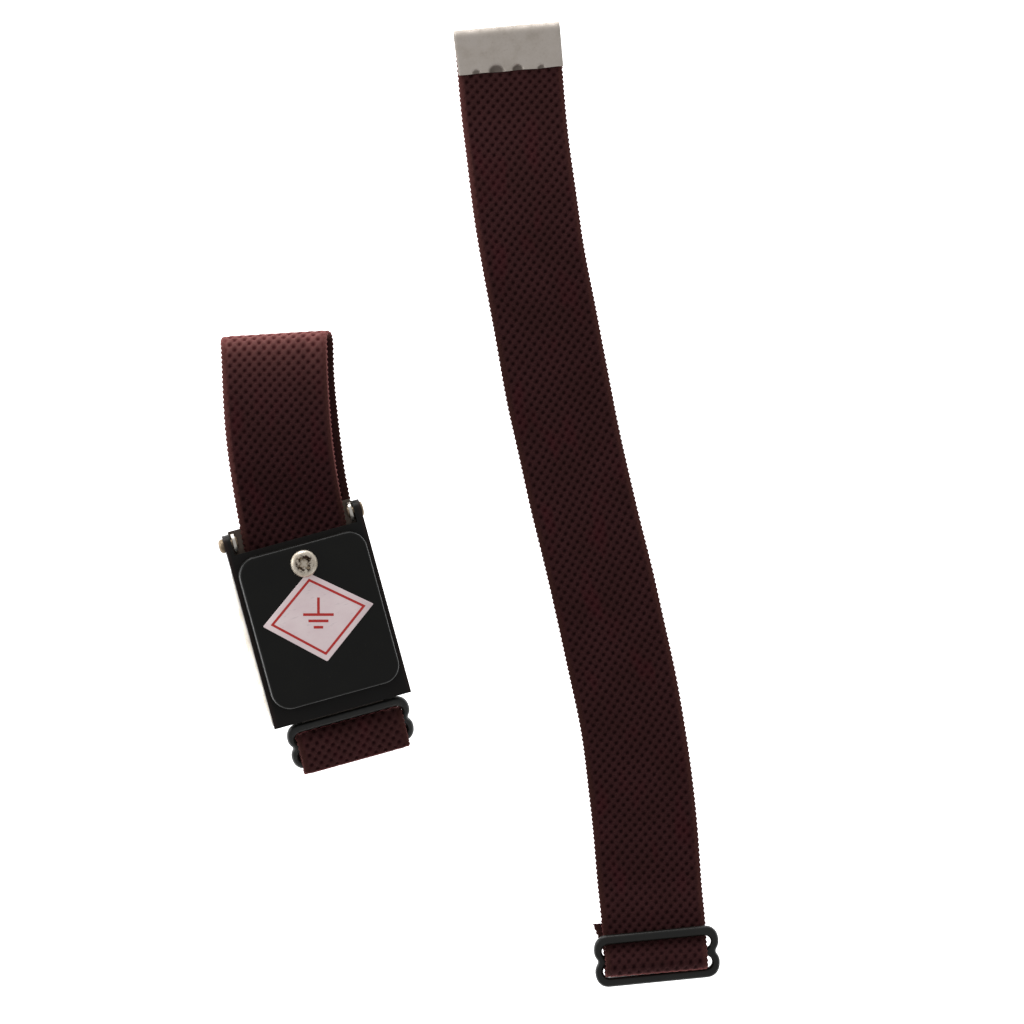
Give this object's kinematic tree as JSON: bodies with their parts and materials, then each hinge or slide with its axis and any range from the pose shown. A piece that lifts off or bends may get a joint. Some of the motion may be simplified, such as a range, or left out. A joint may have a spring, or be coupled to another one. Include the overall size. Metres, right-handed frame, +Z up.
{
  "type": "cordless esd wrist strap with spare band",
  "caption": "Cordless anti-static wrist strap laid flat: an elastic band loop in a flip-lock buckle with a raised cap and screw, and a longer spare band with a metal tip and slider.",
  "frame": {"origin": "on the surface the strap lies on, under the middle of the buckle", "axes": "+X along the lever's hinge line, +Y from the buckle towards the loop's far fold, +Z up from the surface"},
  "size_m": [0.0902, 0.1886, 0.0168],
  "materials": {
    "elastic_knit": "dark maroon knitted elastic",
    "nickel_steel": "nickel plated, satin",
    "rivet_metal": "nickel plated, dulled",
    "black_lever": "black baked enamel, satin",
    "black_cap": "black moulded plastic, satin",
    "black_slider": "black coated wire, satin",
    "label_film": "printed film, satin",
    "tip_metal": "folded tin plate, satin",
    "tinned_brass": "tinned",
    "tinned_wire": "tinned copper wire",
    "resistor_enamel": "enamel coat"
  },
  "bodies": {
    "frame": {"buckle_frame": "nickel_steel", "hinge_rivet_left": "rivet_metal", "hinge_rivet_right": "rivet_metal", "wrist_band": "elastic_knit", "wrist_band_tip": "tip_metal"},
    "lever": {"lever_plate": "black_lever", "cap_shell": "black_cap", "cap_label": "label_film", "contact_screw": "nickel_steel", "contact_nut": "nickel_steel", "ring_terminal": "tinned_brass", "resistor_body": "resistor_enamel", "resistor_lead_screw": "tinned_wire", "resistor_lead_lever": "tinned_wire", "lever_eyelet": "tinned_brass"},
    "slider": {"wrist_slider": "black_slider", "wrist_band_end": "elastic_knit"},
    "spare": {"spare_band": "elastic_knit", "spare_band_tip": "tip_metal"},
    "spare_fitting": {"spare_slider": "black_slider"}
  },
  "joints": [
    {"name": "lever_hinge", "type": "hinge", "parent": "frame", "child": "lever", "pos_m": [0, 0.01925, 0.009], "axis": [-1, 0, 0], "range_deg": [0, 100]},
    {"name": "slider_pivot", "type": "hinge", "parent": "frame", "child": "slider", "pos_m": [0, -0.018, 0.00688], "axis": [-1, 0, 0], "range_deg": [0, 40]},
    {"name": "spare_lift", "type": "slide", "parent": "frame", "child": "spare", "axis": [0, 0, 1], "range_m": [0, 0.05]},
    {"name": "spare_slider_pivot", "type": "hinge", "parent": "spare", "child": "spare_fitting", "pos_m": [0.0462, -0.079, 0.00205], "axis": [0.9848, -0.1736, 0], "range_deg": [0, 25]}
  ]
}
